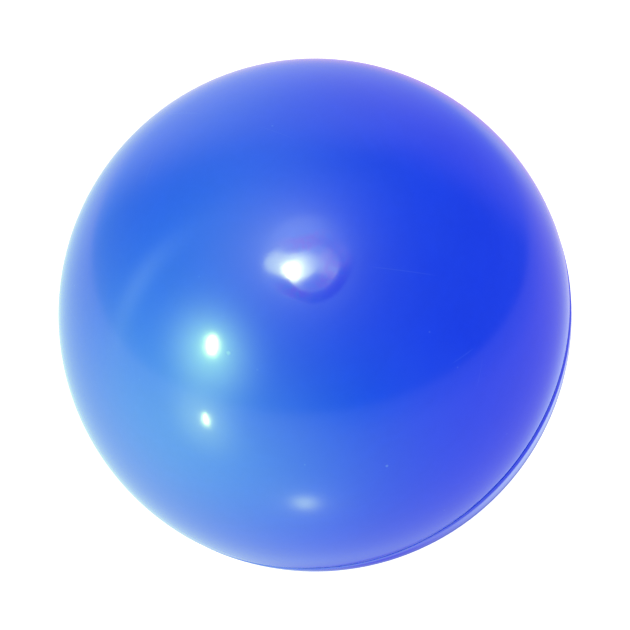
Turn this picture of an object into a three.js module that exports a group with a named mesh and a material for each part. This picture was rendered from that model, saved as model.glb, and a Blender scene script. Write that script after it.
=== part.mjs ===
// Field hockey ball: two moulded half covers with a tongue-and-groove rim joint,
// a weld ring at the bottom of the parting groove, and a cork and rubber composition core.
// Millimetres, +Z up. Origin at the centre of the ball, +Z along the moulding axis,
// so the parting plane is the XY plane.
import * as THREE from "three";

// ---- driving dimensions ----
const BALL_DIAMETER = 73.0; // 229 mm round, inside the playing rules' 224 to 235 mm
const COVER_WALL = 7.0; // thickness of the plastic cover
const CORE_GAP = 0.3; // bond line between core and cover
const RIM_GAP = 0.1; // between the two flat rim faces

const TONGUE_INNER = 31.6; // tongue on the upper rim, radii
const TONGUE_OUTER = 33.4;
const TONGUE_HEIGHT = 2.2; // below the parting plane
const TONGUE_LEAD = 0.35; // lead-in chamfer on the tongue's corners
const GROOVE_CLEARANCE = 0.12; // radial, each side of the tongue
const GROOVE_DEPTH = 2.5;

const WELD_POCKET_INNER = 34.2; // pocket that holds the weld ring, radii
const WELD_POCKET_HALF = 0.46; // half height of the pocket
const WELD_GAP = 0.06; // between the weld ring and the pocket's walls
const WELD_FACE = 36.26; // radius of the ring's outer face, flush with the groove's bottom
const WELD_DISH = 0.02; // how far that face is hollow in its middle

// Parting groove: how far each rim's outer edge falls away below the ball's round, by distance from the parting plane.
const GROOVE_SHOULDER = [
  [1.2, 0.0],
  [1.0, 0.006],
  [0.86, 0.034],
  [0.72, 0.096],
  [0.6, 0.16],
  [WELD_POCKET_HALF, 0.22],
];

const SEGMENTS = 48; // round the axis
const OUTER_STEPS = 14; // along each quarter of the outer arc
const INNER_STEPS = 11; // along each quarter of the cavity's arc
const CORE_STEPS = 22; // pole to pole on the core

const R = BALL_DIAMETER / 2;
const CAVITY_R = R - COVER_WALL;
const CORE_R = CAVITY_R - CORE_GAP;

// Points of a circular arc about the centre, in (radius, height), by latitude in radians.
function arc(radius, from, to, steps) {
  const pts = [];
  for (let i = 0; i <= steps; i++) {
    const a = from + ((to - from) * i) / steps;
    const r = Math.abs(Math.abs(a) - Math.PI / 2) < 1e-9 ? 0 : radius * Math.cos(a);
    pts.push([r, radius * Math.sin(a)]);
  }
  return pts;
}

// A solid of revolution about +Z from a (radius, height) profile.
function turned(name, profile, material) {
  const geometry = new THREE.LatheGeometry(
    profile.map(([r, z]) => new THREE.Vector2(r, z)),
    SEGMENTS,
  );
  geometry.rotateX(Math.PI / 2); // the lathe turns about Y, and the part's axis is Z
  const mesh = new THREE.Mesh(geometry, material);
  mesh.name = name;
  return mesh;
}

// The outer edge of a rim: from the ball's round over the shoulder and down the groove's wall to the mouth of the weld pocket.
const shoulderLatitude = GROOVE_SHOULDER[0][0] / R;
const shoulder = GROOVE_SHOULDER.slice(1).map(([s, d]) => [
  (R - d) * Math.cos(s / R),
  (R - d) * Math.sin(s / R),
]);

// ---- upper half cover, with the tongue ----
const upperProfile = [
  ...arc(R, Math.PI / 2, shoulderLatitude, OUTER_STEPS),
  ...shoulder,
  [WELD_POCKET_INNER, WELD_POCKET_HALF],
  [WELD_POCKET_INNER, RIM_GAP / 2],
  [TONGUE_OUTER, RIM_GAP / 2],
  [TONGUE_OUTER, -TONGUE_HEIGHT + TONGUE_LEAD],
  [TONGUE_OUTER - TONGUE_LEAD, -TONGUE_HEIGHT],
  [TONGUE_INNER + TONGUE_LEAD, -TONGUE_HEIGHT],
  [TONGUE_INNER, -TONGUE_HEIGHT + TONGUE_LEAD],
  [TONGUE_INNER, RIM_GAP / 2],
  ...arc(CAVITY_R, Math.asin(RIM_GAP / 2 / CAVITY_R), Math.PI / 2, INNER_STEPS),
].reverse();

// ---- lower half cover, with the groove ----
const lowerProfile = [
  ...arc(R, -Math.PI / 2, -shoulderLatitude, OUTER_STEPS),
  ...shoulder.map(([r, z]) => [r, -z]),
  [WELD_POCKET_INNER, -WELD_POCKET_HALF],
  [WELD_POCKET_INNER, -RIM_GAP / 2],
  [TONGUE_OUTER + GROOVE_CLEARANCE, -RIM_GAP / 2],
  [TONGUE_OUTER + GROOVE_CLEARANCE, -GROOVE_DEPTH],
  [TONGUE_INNER - GROOVE_CLEARANCE, -GROOVE_DEPTH],
  [TONGUE_INNER - GROOVE_CLEARANCE, -RIM_GAP / 2],
  ...arc(CAVITY_R, -Math.asin(RIM_GAP / 2 / CAVITY_R), -Math.PI / 2, INNER_STEPS),
];

// ---- weld ring in the pocket between the rims, closed on itself ----
const weldHalf = WELD_POCKET_HALF - WELD_GAP;
const weldInner = WELD_POCKET_INNER + WELD_GAP;
const weldProfile = [
  [weldInner, -weldHalf],
  [WELD_FACE, -weldHalf],
  [WELD_FACE - WELD_DISH, 0],
  [WELD_FACE, weldHalf],
  [weldInner, weldHalf],
  [weldInner, -weldHalf],
];

// ---- core ----
const coreProfile = arc(CORE_R, -Math.PI / 2, Math.PI / 2, CORE_STEPS);

const glossyBlue = new THREE.MeshStandardMaterial({
  color: 0x1c44e4,
  roughness: 0.16,
  metalness: 0.0,
});
const glossyBlueLower = glossyBlue.clone();
const weldBlue = new THREE.MeshStandardMaterial({
  color: 0x1a3fd4,
  roughness: 0.25,
  metalness: 0.0,
});
const corkBrown = new THREE.MeshStandardMaterial({
  color: 0x8a6240,
  roughness: 0.9,
  metalness: 0.0,
});

const ball = new THREE.Group();
ball.name = "field_hockey_ball";
ball.add(
  turned("upper_half_cover", upperProfile, glossyBlue),
  turned("lower_half_cover", lowerProfile, glossyBlueLower),
  turned("seam_weld", weldProfile, weldBlue),
  turned("core", coreProfile, corkBrown),
);

export default ball;
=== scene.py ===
import math

import bmesh
import bpy
import numpy as np
from mathutils import Matrix, Vector, noise


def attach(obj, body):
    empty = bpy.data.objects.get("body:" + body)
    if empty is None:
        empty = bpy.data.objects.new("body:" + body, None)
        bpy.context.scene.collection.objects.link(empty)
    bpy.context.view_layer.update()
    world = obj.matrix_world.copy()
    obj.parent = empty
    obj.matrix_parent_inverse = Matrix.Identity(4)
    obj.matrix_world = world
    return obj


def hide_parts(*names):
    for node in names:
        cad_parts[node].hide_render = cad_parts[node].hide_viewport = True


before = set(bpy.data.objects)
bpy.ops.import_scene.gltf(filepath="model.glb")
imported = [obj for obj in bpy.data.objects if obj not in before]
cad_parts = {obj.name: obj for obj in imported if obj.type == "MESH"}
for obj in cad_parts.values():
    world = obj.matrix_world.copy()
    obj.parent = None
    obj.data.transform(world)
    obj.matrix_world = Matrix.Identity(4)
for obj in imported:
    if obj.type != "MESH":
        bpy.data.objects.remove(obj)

scene = bpy.context.scene
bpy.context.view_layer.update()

# --------------------------------------------------------------------------------------------
# Sizes, in millimetres where the name ends in _MM, as the construction has them.
# --------------------------------------------------------------------------------------------
MM = 0.001
R_MM = 36.5              # radius of the ball
CAVITY_MM = 29.5         # radius of the hollow in the cover
CORE_MM = 29.2           # radius of the core
TONGUE_IN_MM, TONGUE_OUT_MM, TONGUE_H_MM = 31.6, 33.4, 2.2
SLOT_CLEAR_MM, SLOT_DEPTH_MM = 0.12, 2.5
POCKET_IN_MM = 34.2      # bottom of the pocket that holds the weld
RIM_HALF_MM = 0.05       # half the gap between the flat rim faces
WELD_HALF_MM = 0.40      # half the height of the weld bead
WELD_GAP_MM = 0.015      # between the bead and the rims
VALLEY_MM = 0.235        # depth of the parting valley
AROUND = 432             # steps round the axis

# --------------------------------------------------------------------------------------------
# Camera: looks at the ball's centre from 23.5 degrees off the upper pole, rolled so that the pole
# lies up and to the left and the seam runs along the lower right edge.
# --------------------------------------------------------------------------------------------
TILT = math.radians(23.5)         # between the view axis and the moulding axis
POLE_TURN = math.radians(129.5)   # where the pole lies in the picture, anticlockwise from right
HALF_ANGLE = math.radians(10.5)   # angular radius of the ball seen from the lens
OUTLINE_PX = 256.60               # radius of the ball's outline in a 630 px picture
CENTRE_PX = (314.80, 314.87)      # its centre there
FRAME_PX = 630.0

back = Vector((0.0, -math.sin(TILT), math.cos(TILT)))
up0 = Vector((0.0, math.cos(TILT), math.sin(TILT)))
right0 = Vector((1.0, 0.0, 0.0))
roll = math.radians(90.0) - POLE_TURN
cam_right = math.cos(roll) * right0 + math.sin(roll) * up0
cam_up = -math.sin(roll) * right0 + math.cos(roll) * up0

cam_dist = R_MM * MM / math.sin(HALF_ANGLE)
focal_px = OUTLINE_PX / math.tan(HALF_ANGLE)
cam_data = bpy.data.cameras.new("camera")
cam_data.sensor_fit = "HORIZONTAL"
cam_data.sensor_width = 36.0
cam_data.lens = 36.0 * focal_px / FRAME_PX
cam_data.clip_start, cam_data.clip_end = 0.01, 20.0
cam = bpy.data.objects.new("camera", cam_data)
scene.collection.objects.link(cam)
shift = cam_dist / focal_px
cam_place = (
    back * cam_dist
    - cam_right * ((CENTRE_PX[0] - FRAME_PX / 2) * shift)
    + cam_up * ((CENTRE_PX[1] - FRAME_PX / 2) * shift)
)
cam.matrix_world = Matrix(
    (
        (cam_right.x, cam_up.x, back.x, cam_place.x),
        (cam_right.y, cam_up.y, back.y, cam_place.y),
        (cam_right.z, cam_up.z, back.z, cam_place.z),
        (0.0, 0.0, 0.0, 1.0),
    )
)
scene.camera = cam


def from_view(v):
    """A direction given as (right, up, towards the lens) in the row frame."""
    return (cam_right * v[0] + cam_up * v[1] + back * v[2]).normalized()


def mirror_at(px, py):
    """Where the ball's surface is at a point of the picture, and where a mirror there would look."""
    d = Vector(((px - CENTRE_PX[0]) / focal_px, -(py - CENTRE_PX[1]) / focal_px, -1.0)).normalized()
    d = cam_right * d.x + cam_up * d.y + back * d.z
    o = back * cam_dist
    b = o.dot(d)
    t = -b - math.sqrt(b * b - (o.dot(o) - (R_MM * MM) ** 2))
    p = o + d * t
    n = p.normalized()
    return p, (d - 2.0 * d.dot(n) * n).normalized()


# --------------------------------------------------------------------------------------------
# Meshes
# --------------------------------------------------------------------------------------------
Z_AXIS = Vector((0.0, 0.0, 1.0))
MARK = mirror_at(311.0, 267.0)[0].normalized()   # middle of the moulding gate's round mark
MARK_MM = 3.75                                   # its radius
MARK_U = (Vector((1.0, 0.0, 0.0)) - MARK * MARK.x).normalized()
MARK_V = MARK.cross(MARK_U)
MARK_TURN = math.atan2(cam_right.dot(MARK_V), cam_right.dot(MARK_U))   # picture's right, as an angle round the mark


def seam_angle(deg):
    """Angle round the moulding axis at which the seam crosses that direction from the middle of the picture."""
    c, t = math.cos(math.radians(deg)), math.sin(math.radians(deg))
    side = cam_right * c + cam_up * t
    q = side - back * (side.z / back.z)
    return math.atan2(q.y, q.x)


def wobble(phi, freq, seed):
    """Smooth noise round the axis, the same at 0 and 360 degrees, about -1 to 1."""
    return noise.noise(Vector((math.cos(phi) * freq + seed, math.sin(phi) * freq - seed, seed * 1.7)))


def ease(a, b, x):
    t = min(1.0, max(0.0, (x - a) / (b - a)))
    return t * t * (3.0 - 2.0 * t)


def new_object(name, verts, faces, smooth_angle=32.0):
    mesh = bpy.data.meshes.new(name)
    mesh.from_pydata([tuple(v) for v in verts], [], faces)
    mesh.validate()
    mesh.update()
    bm = bmesh.new()
    bm.from_mesh(mesh)
    bmesh.ops.recalc_face_normals(bm, faces=bm.faces)
    bm.to_mesh(mesh)
    bm.free()
    mesh.shade_smooth()
    mesh.set_sharp_from_angle(angle=math.radians(smooth_angle))
    obj = bpy.data.objects.new(name, mesh)
    scene.collection.objects.link(obj)
    return obj


def rings(name, rows, closed, around=AROUND):
    """A skin over rings of points. A row is a function of the angle that gives a point in millimetres, or one point at a pole."""
    verts, index = [], []
    phis = [2 * math.pi * i / around for i in range(around)]
    for row in rows:
        points = [row] if isinstance(row, Vector) else [row(phi) for phi in phis]
        index.append(list(range(len(verts), len(verts) + len(points))))
        verts.extend(p * MM for p in points)
    faces = []
    follow = index[1:] + (index[:1] if closed else [])
    for a, b in zip(index, follow):
        for i in range(around):
            j = (i + 1) % around
            if len(a) == 1:
                faces.append((a[0], b[i], b[j]))
            elif len(b) == 1:
                faces.append((a[i], b[0], a[j]))
            else:
                faces.append((a[i], b[i], b[j], a[j]))
    return new_object(name, verts, faces)


def turned(phi, r, z):
    return Vector((r * math.cos(phi), r * math.sin(phi), z))


def round_the_mark(rho, phi):
    """Unit vector on a family of nested circles: about the gate mark near it, about the moulding axis far from it."""
    c = MARK.lerp(Z_AXIS, ease(math.radians(9.0), math.radians(62.0), rho)).normalized()
    u = (Vector((1.0, 0.0, 0.0)) - c * c.x).normalized()
    v = c.cross(u)
    return c * math.cos(rho) + (u * math.cos(phi) + v * math.sin(phi)) * math.sin(rho)


def around(x, middle, width):
    """1 at an angle, falling to 0 on both sides of it, the same at 0 and 360 degrees."""
    d = math.degrees(math.atan2(math.sin(x - middle), math.cos(x - middle)))
    return math.exp(-((d / width) ** 2))


def gate(s, phi):
    """The trimmed gate, s millimetres from its middle: its height in millimetres, how hazy it is, how much painted
    shade darkens its rim and how much painted violet sheen it carries.

    It is a low pad, cut at a slant, so it is flush at the upper left and proud below, and its rim is not worn evenly.
    """
    if s > MARK_MM + 3.4:
        return 0.0, 0.0, 0.0, 0.0
    a = phi - MARK_TURN
    x, y = s * math.cos(a), s * math.sin(a)
    low_right = around(a, math.radians(-52.0), 36.0)
    right = around(a, math.radians(22.0), 32.0)
    top = around(a, math.radians(105.0), 34.0)
    left = around(a, math.radians(176.0), 36.0)
    low_left = around(a, math.radians(-124.0), 26.0)
    at = MARK_MM - 0.08 * low_right + 0.65 * right - 1.00 * top - 0.12 * low_left
    at += 0.10 * wobble(phi, 1.3, 61.0) + 0.08 * wobble(phi, 4.0, 67.0)
    half = 0.85 - 0.07 * low_right + 0.35 * right - 0.25 * top + 1.05 * left - 0.20 * low_left
    half = max(0.3, half + 0.05 * wobble(phi, 3.1, 83.0))
    q = Vector((x, y, 4.0))
    smudge = noise.noise(q * 0.9) + 0.6 * noise.noise(q * 2.1 + Vector((5.0, 1.0, 7.0)))
    inside = 1.0 - ease(at - half, at + half, s)
    rim = math.exp(-(((s - at) / half) ** 4))
    height = 0.015 * (0.5 * x - 0.866 * y + 3.7) - 0.055 * right * ease(1.5, 4.8, s) + 0.0010 * smudge
    height -= 0.042 * around(a, math.radians(-56.0), 40.0) * ease(0.6, 3.0, s)
    dent = 0.046 * top * math.exp(-(((s - 4.3) / (1.3 if s < 4.3 else 1.8)) ** 2))
    dent += 0.015 * low_right * math.exp(-(((s - 4.5) / (0.6 if s < 4.5 else 1.3)) ** 2))
    dent *= 1.0 - ease(5.6, 7.0, s)
    haze = math.exp(-(((x + 0.3) / 1.4) ** 2) - ((y - 0.1) / 1.4) ** 2) + 0.10
    haze += 0.85 * around(a, math.radians(14.0), 40.0) * ease(0.8, 2.0, s)
    # painted shade: dark darkens the base colour along the rim, most at the lower right and in a short arc at the
    # right
    dark = low_right * rim + 0.5 * around(a, math.radians(18.0), 14.0) * math.exp(-(((s - 3.75) / 0.28) ** 2))
    # painted violet sheen: a violet cast of reflected light, at the top, the lower left and inside the pad's right
    # side
    painted_violet_sheen = top * math.exp(-(((s - at - 0.20) / (half + 0.35)) ** 4)) + 0.95 * low_left * rim
    painted_violet_sheen += 0.80 * inside * around(a, math.radians(-18.0), 72.0) * ease(0.7, 2.0, s)
    painted_violet_sheen *= min(1.0, max(0.0, 0.80 + 0.90 * smudge))
    return height * inside - dent, min(1.0, haze * (0.9 + 0.5 * smudge)) * inside, min(1.0, dark), min(1.0, painted_violet_sheen)


def valley(s):
    """How far the surface has fallen below the ball's round, s millimetres from the parting plane."""
    return VALLEY_MM * math.exp(-((s / 0.72) ** 4))


def seam_share(phi, seed):
    """The parting valley's depth round the axis, as a share of its full depth. One stretch is filled almost flush."""
    d = 1.0 - 0.85 * around(phi, seam_angle(-72.0), 19.0)
    d += 0.09 * wobble(phi, 3.0, 9.3) + 0.08 * wobble(phi, 26.0, 21.0) + 0.02 * wobble(phi, 60.0, seed)
    return max(0.10, d)


# The two halves never meet quite true: the lower one sits a little to one side.
SLIP_MM = turned(seam_angle(-28.0), 0.06, 0.0)


def half_cover(name, sign, seed):
    rows = []
    slip = Vector((0.0, 0.0, 0.0)) if sign > 0 else SLIP_MM
    start = 3.0 / R_MM
    far = math.pi / 2 - start
    if sign > 0:
        arcs = [0.15 * i for i in range(1, 17)] + [2.4 + 0.065 * i for i in range(1, 29)]
        step = 0.08
        while arcs[-1] < far * R_MM - 0.6:
            step = min(0.95, step * 1.13)
            arcs.append(arcs[-1] + step)
        arcs[-1] = far * R_MM
        rows.append(MARK * (R_MM + gate(0.0, 0.0)[0]))
        for s in arcs:
            rows.append(lambda phi, s=s: round_the_mark(s / R_MM, phi) * (R_MM + gate(s, phi)[0]))
    else:
        steps = 64
        rows.append(Vector((0.0, 0.0, -R_MM)) + slip)
        for i in range(1, steps + 1):
            lat = math.pi / 2 - far * i / steps
            rows.append(lambda phi, lat=lat: turned(phi, R_MM * math.cos(lat), -R_MM * math.sin(lat)) + slip)
    end = WELD_HALF_MM + WELD_GAP_MM
    shoulder = [2.5, 2.1, 1.8, 1.58, 1.42, 1.3, 1.2, 1.11, 1.03, 0.96, 0.89, 0.82, 0.75, 0.68, 0.61, 0.54, 0.47, end]
    for s in shoulder:
        def row(phi, s=s):
            edge = 0.06 * wobble(phi, 14.0, seed) + 0.04 * wobble(phi, 45.0, seed + 3.0)
            edge *= ease(3.0, 1.4, s) * ease(end, 0.9, s)
            lip = 0.008 * math.exp(-(((s - 1.40) / 0.28) ** 2)) * (0.7 + 0.5 * wobble(phi, 9.0, seed + 19.0))
            depth = valley(s) * seam_share(phi, seed) - lip
            place = (s + edge) / R_MM
            return turned(phi, (R_MM - depth) * math.cos(place), sign * (R_MM - depth) * math.sin(place)) + slip
        rows.append(row)

    def fixed(r, z):
        return lambda phi: turned(phi, r, sign * z)

    rows.append(fixed(R_MM - 0.5, end))
    rows.append(fixed((R_MM + POCKET_IN_MM) / 2, end))
    rows.append(fixed(POCKET_IN_MM, end))
    rows.append(fixed(POCKET_IN_MM, RIM_HALF_MM))
    if sign > 0:  # tongue, below the parting plane
        lead = 0.35
        rows.append(fixed(TONGUE_OUT_MM, RIM_HALF_MM))
        rows.append(fixed(TONGUE_OUT_MM, -(TONGUE_H_MM - lead)))
        rows.append(fixed(TONGUE_OUT_MM - 0.1, -(TONGUE_H_MM - 0.1)))
        rows.append(fixed(TONGUE_OUT_MM - lead, -TONGUE_H_MM))
        rows.append(fixed(TONGUE_IN_MM + lead, -TONGUE_H_MM))
        rows.append(fixed(TONGUE_IN_MM + 0.1, -(TONGUE_H_MM - 0.1)))
        rows.append(fixed(TONGUE_IN_MM, -(TONGUE_H_MM - lead)))
        rows.append(fixed(TONGUE_IN_MM, RIM_HALF_MM))
    else:         # groove that takes the tongue
        rows.append(fixed(TONGUE_OUT_MM + SLOT_CLEAR_MM, RIM_HALF_MM))
        rows.append(fixed(TONGUE_OUT_MM + SLOT_CLEAR_MM, SLOT_DEPTH_MM))
        rows.append(fixed(TONGUE_IN_MM - SLOT_CLEAR_MM, SLOT_DEPTH_MM))
        rows.append(fixed(TONGUE_IN_MM - SLOT_CLEAR_MM, RIM_HALF_MM))
    inner = 28
    low = math.asin(RIM_HALF_MM / CAVITY_MM)
    for i in range(inner):
        lat = low + (math.pi / 2 - low) * i / inner
        rows.append(lambda phi, lat=lat: turned(phi, CAVITY_MM * math.cos(lat), sign * CAVITY_MM * math.sin(lat)))
    rows.append(Vector((0.0, 0.0, sign * CAVITY_MM)))
    return rings(name, rows, closed=False)


def weld_bead(name):
    """The fused bead: a ring whose dished, slightly lumpy outer face carries the valley across the joint."""
    inner = POCKET_IN_MM + 0.06
    shares = (-0.97, -0.85, -0.65, -0.42, -0.20, 0.0, 0.20, 0.42, 0.65, 0.85, 0.97)
    rows = [lambda phi: turned(phi, inner, -WELD_HALF_MM), lambda phi: turned(phi, R_MM - 0.7, -WELD_HALF_MM)]
    for h in (-1.0,) + shares + (1.0,):
        def row(phi, h=h):
            z = h * WELD_HALF_MM
            lump = 0.012 * wobble(phi + 0.02 * h, 34.0, 41.0) + 0.008 * wobble(phi, 70.0, 53.0)
            round_off = 0.012 if abs(h) == 1.0 else 0.0
            return turned(phi, R_MM - valley(abs(z)) * seam_share(phi, 41.0) + lump - 0.008 - round_off, z)
        rows.append(row)
    rows += [lambda phi: turned(phi, R_MM - 0.7, WELD_HALF_MM), lambda phi: turned(phi, inner, WELD_HALF_MM)]
    return rings(name, rows, closed=True)


def granular_core(name):
    """Cork and rubber composition: a ball with the flat-faced pits and grains of a pressed granulate."""
    bm = bmesh.new()
    bmesh.ops.create_icosphere(bm, subdivisions=7, radius=1.0)
    for v in bm.verts:
        n = v.co.normalized()
        q = n * 11.0
        dist, _ = noise.voronoi(q, distance_metric="DISTANCE", exponent=2.5)
        crack = min(1.0, (dist[1] - dist[0]) / 0.22)
        fine = noise.noise(n * 60.0)
        r = CORE_MM - 0.22 * (1.0 - crack) ** 2 - 0.04 * (fine + 1.0) - 0.03
        v.co = n * (r * MM)
    mesh = bpy.data.meshes.new(name)
    bm.to_mesh(mesh)
    bm.free()
    mesh.shade_smooth()
    obj = bpy.data.objects.new(name, mesh)
    scene.collection.objects.link(obj)
    return obj


def finish_of_the_gate(obj):
    """How hazy the gate's pad is, how much painted shade darkens its rim and how much painted violet sheen it
    carries, stored at the mesh's points.
    """
    disc = obj.data.attributes.new("gate_disc", "FLOAT", "POINT")
    # ring holds the painted shade on the rim, edge the painted violet sheen
    ring = obj.data.attributes.new("gate_rim_painted_shade", "FLOAT", "POINT")
    edge = obj.data.attributes.new("gate_painted_violet_sheen", "FLOAT", "POINT")
    limit = math.cos((MARK_MM + 2.2) / R_MM)
    for v in obj.data.vertices:
        n = v.co.normalized()
        if n.dot(MARK) < limit or v.co.length < 0.98 * R_MM * MM:
            continue
        s = R_MM * math.acos(min(1.0, n.dot(MARK)))
        phi = math.atan2(n.dot(MARK_V), n.dot(MARK_U))
        _, disc.data[v.index].value, ring.data[v.index].value, edge.data[v.index].value = gate(s, phi)


upper = half_cover("cover_upper", 1.0, 2.3)
finish_of_the_gate(upper)
lower = half_cover("cover_lower", -1.0, 14.9)
bead = weld_bead("weld_bead")
core = granular_core("core_ball")

# --------------------------------------------------------------------------------------------
# Materials
# --------------------------------------------------------------------------------------------
class Nodes:
    """Short names for building a node tree."""

    def __init__(self, tree):
        self.tree = tree

    def add(self, kind, **props):
        n = self.tree.nodes.new(kind)
        for k, v in props.items():
            setattr(n, k, v)
        return n

    def put(self, socket, value):
        if isinstance(value, bpy.types.NodeSocket):
            self.tree.links.new(value, socket)
        else:
            socket.default_value = value

    def math(self, op, a, b=0.0, clamp=False):
        n = self.add("ShaderNodeMath", operation=op, use_clamp=clamp)
        self.put(n.inputs[0], a)
        self.put(n.inputs[1], b)
        return n.outputs[0]

    def vmath(self, op, a, b=None):
        n = self.add("ShaderNodeVectorMath", operation=op)
        self.put(n.inputs[0], a)
        if b is not None:
            if op == "SCALE":
                self.put(n.inputs["Scale"], b)
            else:
                self.put(n.inputs[1], b)
        return n.outputs["Value"] if op in ("DOT_PRODUCT", "LENGTH") else n.outputs["Vector"]

    def noise(self, vector, scale, detail=2.0, rough=0.5, distortion=0.0):
        n = self.add("ShaderNodeTexNoise")
        self.put(n.inputs["Vector"], vector)
        n.inputs["Scale"].default_value = scale
        n.inputs["Detail"].default_value = detail
        n.inputs["Roughness"].default_value = rough
        n.inputs["Distortion"].default_value = distortion
        return n.outputs["Fac"]

    def mapping(self, vector, rotation=(0, 0, 0), scale=(1, 1, 1), location=(0, 0, 0)):
        n = self.add("ShaderNodeMapping")
        self.put(n.inputs["Vector"], vector)
        n.inputs["Location"].default_value = location
        n.inputs["Rotation"].default_value = rotation
        n.inputs["Scale"].default_value = scale
        return n.outputs["Vector"]

    def span(self, value, a, b, c=0.0, d=1.0, smooth=True):
        n = self.add("ShaderNodeMapRange", interpolation_type="SMOOTHSTEP" if smooth else "LINEAR", clamp=True)
        self.put(n.inputs["Value"], value)
        n.inputs["From Min"].default_value = a
        n.inputs["From Max"].default_value = b
        n.inputs["To Min"].default_value = c
        n.inputs["To Max"].default_value = d
        return n.outputs["Result"]

    def mix(self, fac, a, b):
        n = self.add("ShaderNodeMix", data_type="RGBA")
        self.put(n.inputs["Factor"], fac)
        first, second = [q for q in n.inputs if q.type == "RGBA"]
        self.put(first, a)
        self.put(second, b)
        return next(o for o in n.outputs if o.type == "RGBA")

    def mark(self, name):
        return self.add("ShaderNodeAttribute", attribute_name=name).outputs["Fac"]


def new_material(name):
    m = bpy.data.materials.new(name)
    m.use_nodes = True
    m.node_tree.nodes.clear()
    g = Nodes(m.node_tree)
    out = g.add("ShaderNodeOutputMaterial")
    bsdf = g.add("ShaderNodeBsdfPrincipled")
    m.node_tree.links.new(bsdf.outputs["BSDF"], out.inputs["Surface"])
    return m, g, bsdf


def gloss_of_the_plastic(bsdf):
    """A dense gloss that tints what it mirrors face on, and mirrors without a tint at grazing angles."""
    bsdf.inputs["IOR"].default_value = 2.2
    bsdf.inputs["Specular Tint"].default_value = (0.39, 1.0, 0.40, 1.0)


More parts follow.
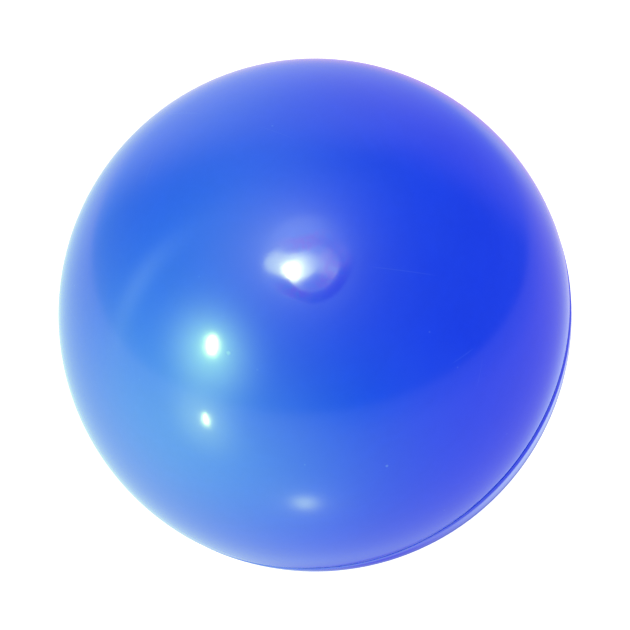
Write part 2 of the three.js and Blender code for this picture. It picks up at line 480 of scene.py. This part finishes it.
def blue_plastic(name):
    """Glossy moulded PVC: a deep blue with faint flow mottling, hairline scratches and a few specks."""
    m, g, bsdf = new_material(name)
    tex = g.add("ShaderNodeTexCoord").outputs["Object"]
    broad = g.noise(tex, 38.0, 3.0, 0.55, 0.6)
    fine = g.noise(tex, 900.0, 2.0, 0.6)
    flow = g.noise(g.mapping(tex, rotation=(0.4, 0.2, 0.9), scale=(1.0, 1.0, 4.0)), 60.0, 4.0, 0.6, 1.2)
    tone = g.math("ADD", g.math("MULTIPLY", broad, 0.5), g.math("MULTIPLY", flow, 0.3))
    tone = g.math("ADD", tone, g.math("MULTIPLY", fine, 0.2))
    tone = g.span(tone, 0.36, 0.64)
    colour = g.mix(tone, (0.0008, 0.0400, 0.910, 1.0), (0.0018, 0.0450, 0.960, 1.0))

    # dust settles in the parting groove, and painted shade darkens it there as well
    apart = g.add("ShaderNodeSeparateXYZ")
    g.put(apart.inputs["Vector"], tex)
    level = g.math("ABSOLUTE", apart.outputs["Z"])
    dust_and_painted_shade = g.math("MULTIPLY", g.span(level, 0.38 * MM, 1.10 * MM, 1.0, 0.0), g.span(broad, 0.30, 0.70, 0.06, 0.16))
    colour = g.mix(dust_and_painted_shade, colour, (0.0040, 0.026, 0.62, 1.0))

    # hairline scratches, each along a great circle for a few millimetres
    rng = np.random.default_rng(11)
    lines = None
    for k in range(16):
        at = Vector(rng.normal(size=3)).normalized()
        along = at.cross(Vector(rng.normal(size=3))).normalized()
        normal = at.cross(along).normalized()
        length = float(rng.uniform(3.0, 11.0)) * MM
        width = float(rng.uniform(0.03, 0.06)) * MM
        off = g.math("ABSOLUTE", g.vmath("DOT_PRODUCT", tex, tuple(normal)))
        line = g.span(off, width * 0.5, width * 1.6, 1.0, 0.0)
        gap = g.vmath("LENGTH", g.vmath("SUBTRACT", tex, tuple(at * (R_MM * MM))))
        line = g.math("MULTIPLY", line, g.span(gap, length * 0.25, length * 0.5, 1.0, 0.0))
        lines = line if lines is None else g.math("MAXIMUM", lines, line)

    # specks: dust and pinholes
    cells = g.add("ShaderNodeTexVoronoi", feature="F1")
    g.put(cells.inputs["Vector"], tex)
    cells.inputs["Scale"].default_value = 640.0
    pick = g.add("ShaderNodeSeparateColor")
    g.put(pick.inputs["Color"], cells.outputs["Color"])
    speck = g.math(
        "MULTIPLY", g.span(cells.outputs["Distance"], 0.05, 0.11, 1.0, 0.0), g.span(pick.outputs[0], 0.955, 0.965)
    )
    speck = g.math("MULTIPLY", speck, 0.35)
    for px, py, size in ((387.0, 466.0, 0.16), (228.5, 353.0, 0.22)):
        gap = g.vmath("LENGTH", g.vmath("SUBTRACT", tex, tuple(mirror_at(px, py)[0])))
        speck = g.math("MAXIMUM", speck, g.span(gap, 0.5 * size * MM, 1.6 * size * MM, 1.0, 0.0))
    pale = g.math("MAXIMUM", g.math("MULTIPLY", lines, 0.035), g.math("MULTIPLY", speck, 0.24))
    colour = g.mix(pale, colour, (0.30, 0.60, 0.95, 1.0))
    # painted violet sheen on parts of the gate's pad, and painted shade darkening its rim
    disc, ring, edge = g.mark("gate_disc"), g.mark("gate_rim_painted_shade"), g.mark("gate_painted_violet_sheen")
    colour = g.mix(edge, colour, (0.060, 0.005, 0.88, 1.0))
    colour = g.mix(g.math("MULTIPLY", ring, 0.85), colour, (0.0010, 0.010, 0.92, 1.0))
    g.put(bsdf.inputs["Base Color"], colour)

    # the gate's pad is duller than the polished skin
    haze = g.noise(tex, 120.0, 4.0, 0.65)
    patch = g.noise(tex, 620.0, 1.0, 0.5)
    rough = g.math("ADD", g.span(haze, 0.3, 0.7, 0.100, 0.135), g.math("MULTIPLY", lines, 0.08))
    rough = g.math("ADD", rough, g.math("MULTIPLY", disc, g.span(patch, 0.35, 0.65, 0.095, 0.125)))
    rough = g.math("ADD", rough, g.math("MULTIPLY", ring, 0.04))
    rough = g.math("ADD", rough, g.math("MULTIPLY", dust_and_painted_shade, 0.25))
    g.put(bsdf.inputs["Roughness"], rough)
    gloss_of_the_plastic(bsdf)

    # orange peel and scratches as fine relief
    peel = g.noise(tex, 260.0, 2.0, 0.5)
    height = g.math("SUBTRACT", g.math("MULTIPLY", peel, 0.0030), g.math("MULTIPLY", lines, 0.002))
    bump = g.add("ShaderNodeBump")
    bump.inputs["Strength"].default_value = 0.35
    bump.inputs["Distance"].default_value = 0.001
    g.put(bump.inputs["Height"], height)
    g.put(bsdf.inputs["Normal"], bump.outputs["Normal"])
    return m


def weld_plastic(name):
    """Fused plastic in the bottom of the groove: darker, duller, a little dusty."""
    m, g, bsdf = new_material(name)
    tex = g.add("ShaderNodeTexCoord").outputs["Object"]
    grain = g.noise(tex, 700.0, 4.0, 0.65)
    colour = g.mix(g.span(grain, 0.35, 0.7), (0.0045, 0.034, 0.80, 1.0), (0.0065, 0.043, 0.90, 1.0))
    g.put(bsdf.inputs["Base Color"], colour)
    g.put(bsdf.inputs["Roughness"], g.span(grain, 0.3, 0.7, 0.16, 0.26))
    gloss_of_the_plastic(bsdf)
    bump = g.add("ShaderNodeBump")
    bump.inputs["Strength"].default_value = 0.25
    bump.inputs["Distance"].default_value = 0.0003
    g.put(bump.inputs["Height"], grain)
    g.put(bsdf.inputs["Normal"], bump.outputs["Normal"])
    return m


def cork_composition(name):
    """Pressed cork granules in a dark rubber binder."""
    m, g, bsdf = new_material(name)
    tex = g.add("ShaderNodeTexCoord").outputs["Object"]
    cells = g.add("ShaderNodeTexVoronoi", feature="F1")
    g.put(cells.inputs["Vector"], tex)
    cells.inputs["Scale"].default_value = 11.0 / (CORE_MM * MM)
    tint = g.add("ShaderNodeSeparateColor")
    g.put(tint.inputs["Color"], cells.outputs["Color"])
    edge = g.add("ShaderNodeTexVoronoi", feature="DISTANCE_TO_EDGE")
    g.put(edge.inputs["Vector"], tex)
    edge.inputs["Scale"].default_value = 11.0 / (CORE_MM * MM)
    grain = g.noise(tex, 1500.0, 4.0, 0.6)
    body = g.mix(tint.outputs[0], (0.16, 0.075, 0.030, 1.0), (0.36, 0.20, 0.095, 1.0))
    body = g.mix(g.math("MULTIPLY", grain, 0.5), body, (0.10, 0.045, 0.018, 1.0))
    colour = g.mix(g.span(edge.outputs["Distance"], 0.0, 0.09), (0.03, 0.018, 0.012, 1.0), body)
    g.put(bsdf.inputs["Base Color"], colour)
    g.put(bsdf.inputs["Roughness"], g.span(grain, 0.3, 0.7, 0.78, 0.95))
    bump = g.add("ShaderNodeBump")
    bump.inputs["Strength"].default_value = 0.6
    bump.inputs["Distance"].default_value = 0.0004
    g.put(bump.inputs["Height"], grain)
    g.put(bsdf.inputs["Normal"], bump.outputs["Normal"])
    return m


blue = blue_plastic("blue_plastic")
upper.data.materials.append(blue)
lower.data.materials.append(blue)
bead.data.materials.append(weld_plastic("weld_plastic"))
core.data.materials.append(cork_composition("cork_composition"))

for piece, node, slot in (
    (upper, "upper_half_cover", "cover_plastic"),
    (lower, "lower_half_cover", "cover_plastic"),
    (bead, "seam_weld", "weld_plastic"),
    (core, "core", "cork_composition"),
):
    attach(piece, "root")
    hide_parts(node)

# --------------------------------------------------------------------------------------------
# Stage: a white shooting table whose glow is painted light, with a painted contact shadow round the ball's foot, soft
# surroundings and six small lamps
# --------------------------------------------------------------------------------------------
floor_mesh = bpy.data.meshes.new("floor")
bm = bmesh.new()
bmesh.ops.create_circle(bm, cap_ends=True, segments=96, radius=4.0)
bm.to_mesh(floor_mesh)
bm.free()
floor = bpy.data.objects.new("floor", floor_mesh)
floor.location = (0.0, 0.0, -R_MM * MM)
scene.collection.objects.link(floor)
fm, fg, fb = new_material("white_table_painted_glow")
fb.inputs["Base Color"].default_value = (0.86, 0.86, 0.86, 1.0)
fb.inputs["Roughness"].default_value = 1.0
fb.inputs["Specular IOR Level"].default_value = 0.0
fb.inputs["Emission Color"].default_value = (1.0, 1.0, 1.0, 1.0)
# painted light: the lens alone sees the table's glow, which fades with distance and is left out round the ball's foot
# as a painted contact shadow; other rays meet a faint even glow
seen = fg.add("ShaderNodeLightPath").outputs["Is Camera Ray"]
away = fg.vmath("LENGTH", fg.add("ShaderNodeTexCoord").outputs["Object"])
near = fg.span(away, 0.014, 0.029)
far = fg.math("DIVIDE", 1.0, fg.math("ADD", 1.0, fg.math("POWER", fg.math("DIVIDE", away, 0.25), 2.0)))
painted_light_pool = fg.math("MULTIPLY", fg.math("MULTIPLY", near, far), fg.math("MULTIPLY", seen, 0.72))
spill = fg.math("MULTIPLY", fg.math("SUBTRACT", 1.0, seen), 0.10)
fg.put(fb.inputs["Emission Strength"], fg.math("ADD", painted_light_pool, spill))
floor_mesh.materials.append(fm)
floor.visible_glossy = False

world = bpy.data.worlds.new("studio")
scene.world = world
world.use_nodes = True
world.node_tree.nodes.clear()
world.cycles.sampling_method = "NONE"
w = Nodes(world.node_tree)
ray = w.add("ShaderNodeTexCoord").outputs["Generated"]


def lobe(direction, tight, colour):
    """A soft glow round a direction, given as (right, up, towards the lens)."""
    c = w.vmath("DOT_PRODUCT", ray, tuple(from_view(direction)))
    e = w.math("EXPONENT", w.math("MULTIPLY", w.math("SUBTRACT", c, 1.0), tight))
    return w.vmath("SCALE", tuple(colour), e)


def edge_of(direction, at, soft):
    """0 to 1 across a soft edge where a direction's share passes a level."""
    c = w.vmath("DOT_PRODUCT", ray, tuple(from_view(direction)))
    return w.span(c, at - soft, at + soft)


def streak(direction, at, width, middle, tight, colour):
    """A thin straight glow, brightest round a direction."""
    c = w.vmath("DOT_PRODUCT", ray, tuple(from_view(direction)))
    c = w.math("DIVIDE", w.math("SUBTRACT", c, at), width)
    e = w.math("EXPONENT", w.math("MULTIPLY", w.math("MULTIPLY", c, c), -1.0))
    return w.vmath("MULTIPLY", lobe(middle, tight, colour), w.vmath("SCALE", (1.0, 1.0, 1.0), e))


FRONT = tuple(mirror_at(305, 503)[1].dot(q) for q in (cam_right, cam_up, back))
LEFT = tuple(mirror_at(211, 347)[1].dot(q) for q in (cam_right, cam_up, back))
above = edge_of((-0.056, 0.794, 0.606), -0.072, 0.042)
above_soft = edge_of((0.05, 0.77, 0.64), -0.114, 0.10)
parts = [
    # the table and the wall behind it
    w.vmath("SCALE", (0.325, 0.125, 0.25), w.math("SUBTRACT", 1.0, above)),
    w.vmath("SCALE", (0.17, 0.05, 0.09), w.math("SUBTRACT", 1.0, above_soft)),
    w.vmath("SCALE", (0.28, 0.10, 0.39), w.math("MULTIPLY", edge_of((0.087, 0.735, -0.672), 0.621, 0.17), above)),
    w.vmath("SCALE", (0.29, 0.155, 0.05), w.math("MULTIPLY", edge_of((-0.167, 0.926, -0.338), 0.821, 0.176), above)),
    # soft light from the left, below and above
    lobe((-0.54, 0.51, 0.67), 2.9, (0.0, 0.78, 0.15)),
    lobe((-0.86, -0.51, -0.01), 3.5, (0.91, 1.43, 0.42)),
    lobe((-0.32, -0.88, 0.36), 3.3, (0.56, 0.90, 0.20)),
    lobe((-0.39, 0.83, -0.40), 12.0, (0.15, 0.27, 0.12)),
    lobe((-0.25, -0.05, -0.97), 2.85, (0.34, 1.08, 0.10)),
    lobe((0.40, -0.21, -0.89), 34.0, (0.58, 0.70, 0.60)),
    lobe((0.41, 0.38, -0.83), 92.0, (0.08, 0.21, 0.07)),
    # glow round the lamps
    lobe((-0.105, 0.44, 0.892), 32.0, (2.25, 1.1, 1.45)),
    lobe((-0.26, 0.47, 0.84), 5.6, (1.3, 0.23, 0.46)),
    lobe((-0.70, -0.25, 0.67), 27.0, (3.9, 3.1, 1.4)),
    lobe((-0.67, -0.64, 0.37), 55.0, (2.05, 1.4, 0.4)),
    lobe(LEFT, 110.0, (0.8, 1.3, 0.0)),
    lobe(FRONT, 65.0, (0.55, 0.30, 0.15)),
    lobe(FRONT, 480.0, (3.9, 2.2, 0.8)),
    streak((0.0, 0.615, -0.789), -0.024, 0.094, (-0.92, 0.37, -0.09), 17.0, (1.4, 1.0, 0.9)),
]
total = w.vmath("ADD", parts[0], parts[1])
for p in parts[2:]:
    total = w.vmath("ADD", total, p)
total = w.vmath("ADD", total, (0.118, 0.012, 0.56))
# darker patches behind the ball and in front of it
for at, tight, share in (((0.18, -0.19, -0.96), 56.0, (0.8, 0.8, 0.64)), ((0.11, -0.43, -0.90), 49.0, (0.73, 0.8, 0.19)), ((0.10, 0.25, -0.96), 20.0, (0.0, 0.4, 0.0)), ((0.31, -0.52, 0.80), 14.0, (0.35, 0.06, 0.0))):
    total = w.vmath("MULTIPLY", total, w.vmath("SUBTRACT", (1.0, 1.0, 1.0), lobe(at, tight, share)))

path = w.add("ShaderNodeLightPath")
soft = w.add("ShaderNodeBackground")
soft.inputs["Color"].default_value = (1.0, 1.0, 1.0, 1.0)
soft.inputs["Strength"].default_value = 0.95
gloss = w.add("ShaderNodeBackground")
w.put(gloss.inputs["Color"], total)
plain = w.add("ShaderNodeBackground")
plain.inputs["Color"].default_value = (1.0, 1.0, 1.0, 1.0)
plain.inputs["Strength"].default_value = 0.82
mix1 = w.add("ShaderNodeMixShader")
w.put(mix1.inputs[0], path.outputs["Is Glossy Ray"])
w.put(mix1.inputs[1], soft.outputs[0])
w.put(mix1.inputs[2], gloss.outputs[0])
mix2 = w.add("ShaderNodeMixShader")
w.put(mix2.inputs[0], path.outputs["Is Camera Ray"])
w.put(mix2.inputs[1], mix1.outputs[0])
w.put(mix2.inputs[2], plain.outputs[0])
world_out = w.add("ShaderNodeOutputWorld")
w.put(world_out.inputs["Surface"], mix2.outputs[0])


def lamp(name, px, py, width, height, turn, power, colour, dist=0.5):
    """A small soft lamp, placed where its reflection falls on that point of the picture."""
    p, look = mirror_at(px, py)
    data = bpy.data.lights.new(name, "AREA")
    data.shape = "ELLIPSE"
    data.size, data.size_y = width, height
    data.energy = power
    data.color = colour
    obj = bpy.data.objects.new(name, data)
    place = p + look * dist
    z = (place - p).normalized()
    x = cam_right - z * cam_right.dot(z)
    x.normalize()
    y = z.cross(x)
    c, s = math.cos(turn), math.sin(turn)
    x, y = x * c + y * s, y * c - x * s
    obj.matrix_world = Matrix(
        ((x.x, y.x, z.x, place.x), (x.y, y.y, z.y, place.y), (x.z, y.z, z.z, place.z), (0, 0, 0, 1))
    )
    obj.visible_camera = False
    obj.visible_diffuse = False
    scene.collection.objects.link(obj)
    return obj


lamp("key_lamp", 288.2, 268.4, 0.070, 0.066, 0.6, 0.49, (1.0, 0.43, 0.24))
lamp("key_halo", 301, 265, 0.085, 0.080, 0.0, 0.08, (1.0, 0.47, 0.24))
lamp("key_fill", 331, 263, 0.11, 0.12, 0.0, 0.085, (1.0, 0.40, 0.24))
lamp("key_spill", 288.4, 263, 0.18, 0.115, 0.0, 0.27, (1.0, 0.48, 0.24))
lamp("left_lamp", 212, 345, 0.034, 0.065, 0.0, 0.335, (1.0, 0.57, 0.22))
lamp("low_lamp", 206, 419.6, 0.011, 0.043, 0.5, 0.086, (1.0, 0.57, 0.22))

scene.view_settings.view_transform = "Standard"
scene.view_settings.look = "None"
